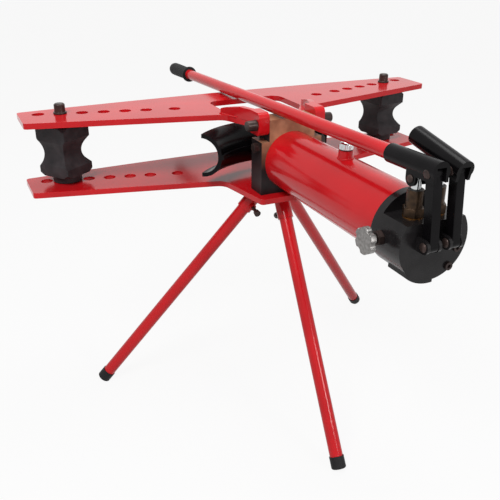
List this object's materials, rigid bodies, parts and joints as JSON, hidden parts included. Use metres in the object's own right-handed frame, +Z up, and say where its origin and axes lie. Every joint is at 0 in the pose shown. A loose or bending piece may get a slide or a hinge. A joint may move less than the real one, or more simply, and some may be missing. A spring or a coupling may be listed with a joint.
{
  "type": "hydraulic pipe bender",
  "caption": "Tripod-mounted hydraulic pipe bender: winged plates hold grooved rollers, a hand-pumped ram pushes a curved bending die between them.",
  "frame": {"origin": "on the floor under the middle of the bounding box", "axes": "+Z up, +Y along the ram from the pump towards the die and the handle's grip, X along the wings"},
  "size_m": [1, 1.1446, 0.7393],
  "materials": {
    "red_paint": "gloss",
    "black_paint": "satin",
    "black_oxide": "black oxide",
    "cast_iron": "matte",
    "brown_steel": "phosphated",
    "bright_steel": "machined",
    "chrome": "polished",
    "bronze": "turned",
    "rubber": "matte"
  },
  "bodies": {
    "frame": {"lower_wing_plate": "red_paint", "upper_wing_plate": "red_paint", "frame_block": "black_oxide", "hinge_lugs": "red_paint", "hinge_bolts": "black_oxide", "side_bolts": "black_oxide", "block_screws": "black_oxide", "tripod_plate": "red_paint", "leg_sockets": "red_paint", "reservoir_tube": "red_paint", "pressure_tube": "bright_steel", "rod_guide": "bronze", "rod_wiper": "rubber", "reservoir_seals": "rubber", "pump_body": "black_paint", "pump_barrel_left": "brown_steel", "pump_barrel_right": "brown_steel", "barrel_washers": "bronze", "plunger_seals": "rubber", "link_base_pins": "black_oxide", "valve_balls": "bright_steel", "valve_springs": "bright_steel", "valve_plugs": "black_oxide", "release_gland": "bright_steel", "filler_boss": "red_paint", "filler_seal": "rubber", "return_spring": "bright_steel"},
    "ram": {"ram_rod": "chrome", "piston": "cast_iron", "piston_seal": "rubber", "bending_die": "cast_iron", "die_pin": "bright_steel"},
    "handle": {"handle_tube": "red_paint", "handle_grip": "rubber"},
    "release_screw": {"release_spindle": "bright_steel", "release_knob": "bright_steel"},
    "filler_cap": {"filler_cap": "chrome"},
    "roller_left": {"roller_left": "cast_iron"},
    "roller_pin_left": {"roller_pin_left": "black_oxide"},
    "link_left": {"link_left": "black_paint"},
    "lever_left": {"lever_left": "black_paint", "link_pin_left": "black_oxide", "plunger_pin_left": "black_oxide"},
    "plunger_left": {"plunger_left": "chrome"},
    "roller_right": {"roller_right": "cast_iron"},
    "roller_pin_right": {"roller_pin_right": "black_oxide"},
    "link_right": {"link_right": "black_paint"},
    "lever_right": {"lever_right": "black_paint", "link_pin_right": "black_oxide", "plunger_pin_right": "black_oxide"},
    "plunger_right": {"plunger_right": "chrome"},
    "leg_left": {"leg_left": "red_paint", "foot_left": "rubber"},
    "thumb_screw_left": {"thumb_screw_left": "black_oxide"},
    "leg_right": {"leg_right": "red_paint", "foot_right": "rubber"},
    "thumb_screw_right": {"thumb_screw_right": "black_oxide"},
    "leg_rear": {"leg_rear": "red_paint", "foot_rear": "rubber"},
    "thumb_screw_rear": {"thumb_screw_rear": "black_oxide"}
  },
  "joints": [
    {"name": "ram_slide", "type": "slide", "parent": "frame", "child": "ram", "axis": [0, 1, 0], "range_m": [0, 0.2], "stiffness_N_per_m": 600, "springref_m": -0.05, "deforming": ["return_spring"]},
    {"name": "roller_left_spin", "type": "hinge", "parent": "frame", "child": "roller_left", "pos_m": [-0.416, 0.17412, 0.583], "axis": [0, 0, 1], "continuous": true},
    {"name": "roller_pin_left_lift", "type": "slide", "parent": "frame", "child": "roller_pin_left", "axis": [0, 0, 1], "range_m": [0, 0.172]},
    {"name": "roller_right_spin", "type": "hinge", "parent": "frame", "child": "roller_right", "pos_m": [0.416, 0.17412, 0.583], "axis": [0, 0, 1], "continuous": true},
    {"name": "roller_pin_right_lift", "type": "slide", "parent": "frame", "child": "roller_pin_right", "axis": [0, 0, 1], "range_m": [0, 0.172]},
    {"name": "link_left_lean", "type": "hinge", "parent": "frame", "child": "link_left", "pos_m": [-0.021, -0.5613, 0.587], "axis": [1, 0, 0], "range_deg": [0, 1.41]},
    {"name": "lever_left_swing", "type": "hinge", "parent": "link_left", "child": "lever_left", "pos_m": [-0.021, -0.5498, 0.698], "axis": [1, 0, 0], "range_deg": [0, 42]},
    {"name": "plunger_left_stroke", "type": "slide", "parent": "frame", "child": "plunger_left", "axis": [0, 0, 1], "range_m": [0, 0.02926]},
    {"name": "link_right_lean", "type": "hinge", "parent": "frame", "child": "link_right", "pos_m": [0.021, -0.5613, 0.587], "axis": [1, 0, 0], "range_deg": [-0.46, 0.96]},
    {"name": "lever_right_swing", "type": "hinge", "parent": "link_right", "child": "lever_right", "pos_m": [0.021, -0.55067, 0.69809], "axis": [1, 0, 0], "range_deg": [-13.45, 28.55]},
    {"name": "plunger_right_stroke", "type": "slide", "parent": "frame", "child": "plunger_right", "axis": [0, 0, 1], "range_m": [-0.00944, 0.01992]},
    {"name": "handle_draw", "type": "slide", "parent": "lever_left", "child": "handle", "axis": [0, 0.9995, -0.0332], "range_m": [0, 0.04]},
    {"name": "release_turn", "type": "hinge", "parent": "frame", "child": "release_screw", "pos_m": [-0.09, -0.4963, 0.583], "axis": [-1, 0, 0], "range_deg": [0, 270]},
    {"name": "filler_cap_turn", "type": "hinge", "parent": "frame", "child": "filler_cap", "pos_m": [0, -0.2913, 0.665], "axis": [0, 0, 1], "range_deg": [0, 360]},
    {"name": "leg_left_draw", "type": "slide", "parent": "frame", "child": "leg_left", "axis": [-0.5837, 0.2124, -0.7837], "range_m": [0, 0.03]},
    {"name": "thumb_screw_left_turn", "type": "hinge", "parent": "frame", "child": "thumb_screw_left", "pos_m": [-0.05413, 0.0004, 0.46522], "axis": [0.0013, -0.9649, -0.2625], "range_deg": [0, 360]},
    {"name": "leg_right_draw", "type": "slide", "parent": "frame", "child": "leg_right", "axis": [0.5708, 0.2984, -0.7649], "range_m": [0, 0.03]},
    {"name": "thumb_screw_right_turn", "type": "hinge", "parent": "frame", "child": "thumb_screw_right", "pos_m": [0.05182, 0.00779, 0.46593], "axis": [0.4633, -0.8862, 0], "range_deg": [0, 360]},
    {"name": "leg_rear_draw", "type": "slide", "parent": "frame", "child": "leg_rear", "axis": [-0.0447, -0.5675, -0.8221], "range_m": [0, 0.03]},
    {"name": "thumb_screw_rear_turn", "type": "hinge", "parent": "frame", "child": "thumb_screw_rear", "pos_m": [-0.00436, -0.07476, 0.46376], "axis": [0.0645, 0.8196, -0.5693], "range_deg": [0, 360]}
  ],
  "couplings": [
    {"joint": "link_left_lean", "follows": "lever_left_swing", "ratio": 0.033378},
    {"joint": "plunger_left_stroke", "follows": "lever_left_swing", "m_per_rad": 0.039776},
    {"joint": "link_right_lean", "follows": "lever_right_swing", "ratio": 0.033378},
    {"joint": "plunger_right_stroke", "follows": "lever_right_swing", "m_per_rad": 0.039776}
  ]
}
